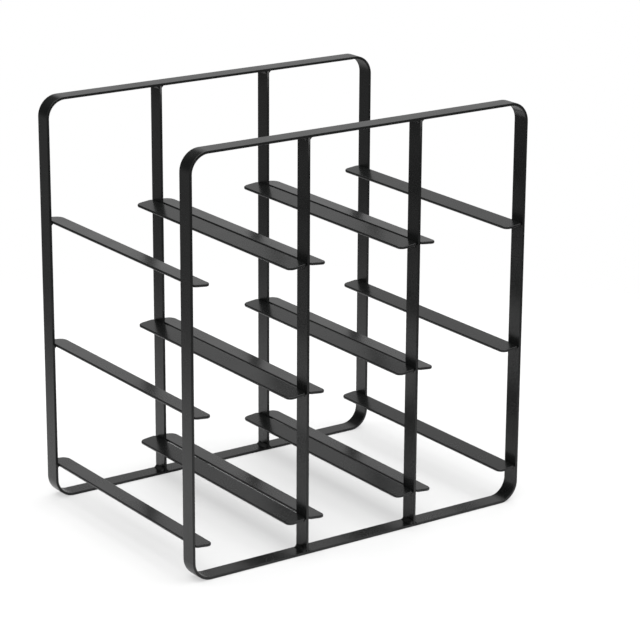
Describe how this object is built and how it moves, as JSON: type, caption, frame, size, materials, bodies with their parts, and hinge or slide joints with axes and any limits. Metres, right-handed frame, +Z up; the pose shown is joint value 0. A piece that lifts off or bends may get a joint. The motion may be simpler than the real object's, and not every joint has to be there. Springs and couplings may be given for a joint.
{
  "type": "wine rack",
  "caption": "Free-standing welded flat-bar wine rack: two rounded hoops with uprights, joined by pairs of sloping flat rest strips that carry bottles lying down.",
  "frame": {"origin": "middle of the footprint, on the floor", "axes": "+Z up, +Y from the front hoop to the back hoop, +X to the right seen from the front"},
  "size_m": [0.285, 0.205, 0.305],
  "materials": {
    "frame_coat": "satin black powder coat over steel flat bar",
    "rest_coat": "satin black powder coat over steel flat bar",
    "weld_coat": "satin black powder coat over small weld beads"
  },
  "bodies": {
    "root": {"front_hoop": "frame_coat", "back_hoop": "frame_coat", "front_left_upright": "frame_coat", "front_right_upright": "frame_coat", "back_left_upright": "frame_coat", "back_right_upright": "frame_coat", "lower_rest_strip_1": "rest_coat", "lower_rest_strip_2": "rest_coat", "lower_rest_strip_3": "rest_coat", "lower_rest_strip_4": "rest_coat", "lower_rest_strip_5": "rest_coat", "lower_rest_strip_6": "rest_coat", "middle_rest_strip_1": "rest_coat", "middle_rest_strip_2": "rest_coat", "middle_rest_strip_3": "rest_coat", "middle_rest_strip_4": "rest_coat", "middle_rest_strip_5": "rest_coat", "middle_rest_strip_6": "rest_coat", "upper_rest_strip_1": "rest_coat", "upper_rest_strip_2": "rest_coat", "upper_rest_strip_3": "rest_coat", "upper_rest_strip_4": "rest_coat", "upper_rest_strip_5": "rest_coat", "upper_rest_strip_6": "rest_coat", "front_rest_welds": "weld_coat", "back_rest_welds": "weld_coat", "front_upright_welds": "weld_coat", "back_upright_welds": "weld_coat"}
  },
  "joints": []
}
